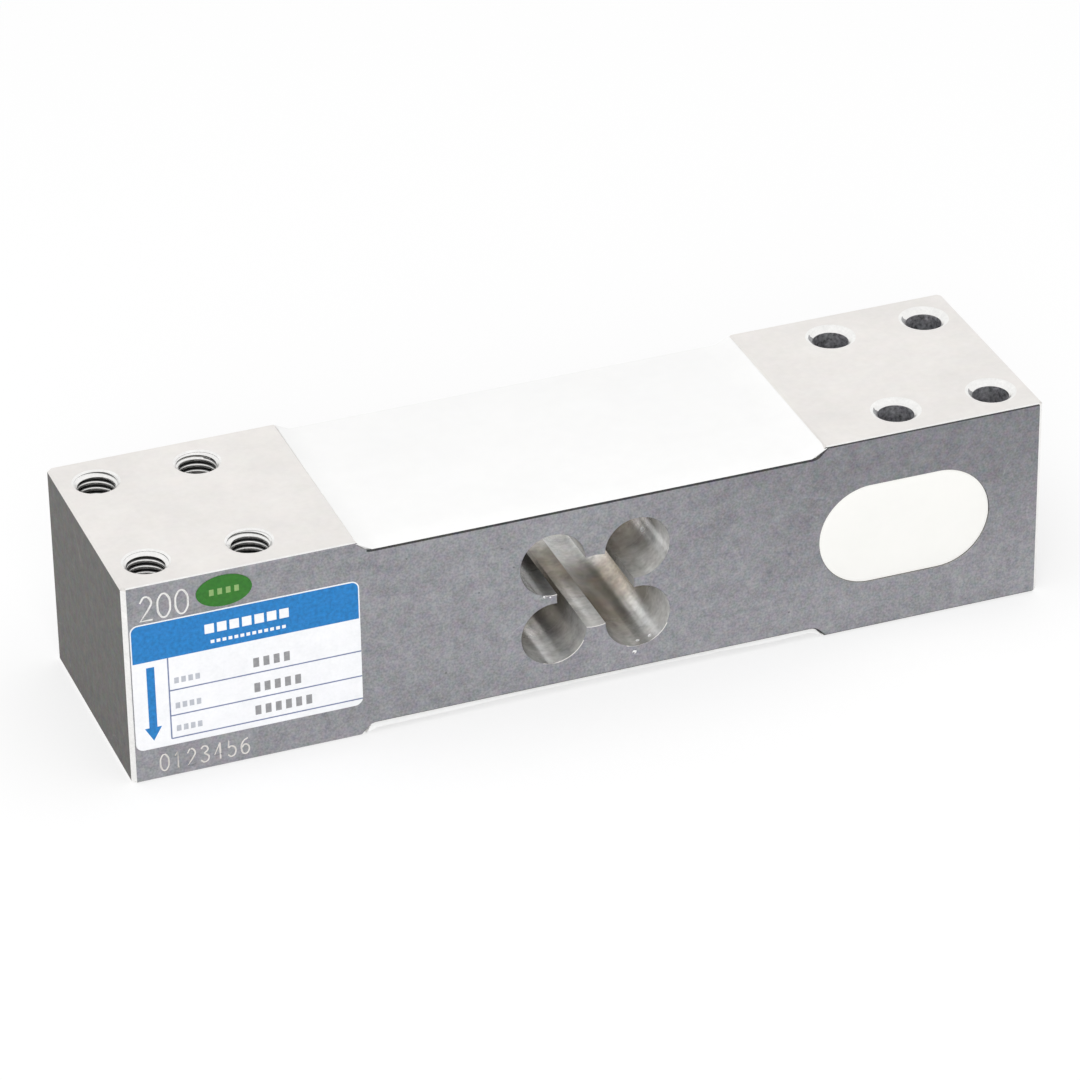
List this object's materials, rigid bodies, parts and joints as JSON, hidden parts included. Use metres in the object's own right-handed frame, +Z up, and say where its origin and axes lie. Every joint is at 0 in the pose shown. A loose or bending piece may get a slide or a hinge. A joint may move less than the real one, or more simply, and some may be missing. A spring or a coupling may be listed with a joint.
{
  "type": "single point load cell",
  "caption": "Aluminium single point load cell bar: clover-shaped flexure cavity, white sealed gauge recesses, potted side pocket, threaded mounting holes at both ends.",
  "frame": {"origin": "middle of the bottom face of the block", "axes": "+X along the length, towards the fixed end with the potted pocket; +Z up; the labelled face looks along -Y"},
  "size_m": [0.176, 0.0461, 0.04],
  "materials": {
    "machined_aluminium": "machined, matt sides and bright pads",
    "white_silicone": "smooth white silicone",
    "cream_potting": "smooth cream silicone",
    "label_sheet": "printed film with a blue band",
    "green_sticker": "printed film",
    "carrier_film": "amber polyimide film",
    "gauge_foil": "etched resistance foil",
    "copper": "bare copper",
    "enamelled_wire": "enamelled copper wire",
    "solder": "bright solder",
    "board": "green glass-epoxy board",
    "resistor_body": "black ceramic chip"
  },
  "bodies": {
    "root": {"spring_element": "machined_aluminium", "junction_potting": "cream_potting", "top_gauge_seal": "white_silicone", "bottom_gauge_seal": "white_silicone", "type_label": "label_sheet", "oval_sticker": "green_sticker", "top_load_end_gauge_film": "carrier_film", "top_load_end_gauge_foil": "gauge_foil", "top_fixed_end_gauge_film": "carrier_film", "top_fixed_end_gauge_foil": "gauge_foil", "top_terminal_film": "carrier_film", "top_terminal_pads": "copper", "top_gauge_jumpers": "copper", "top_bridge_wires": "enamelled_wire", "top_solder_joints": "solder", "bottom_load_end_gauge_film": "carrier_film", "bottom_load_end_gauge_foil": "gauge_foil", "bottom_fixed_end_gauge_film": "carrier_film", "bottom_fixed_end_gauge_foil": "gauge_foil", "bottom_terminal_film": "carrier_film", "bottom_terminal_pads": "copper", "bottom_gauge_jumpers": "copper", "bottom_bridge_wires": "enamelled_wire", "bottom_solder_joints": "solder", "junction_board": "board", "board_pads": "copper", "board_solder_joints": "solder", "span_resistor": "resistor_body", "zero_resistor": "resistor_body", "temperature_resistor": "resistor_body"}
  },
  "joints": []
}
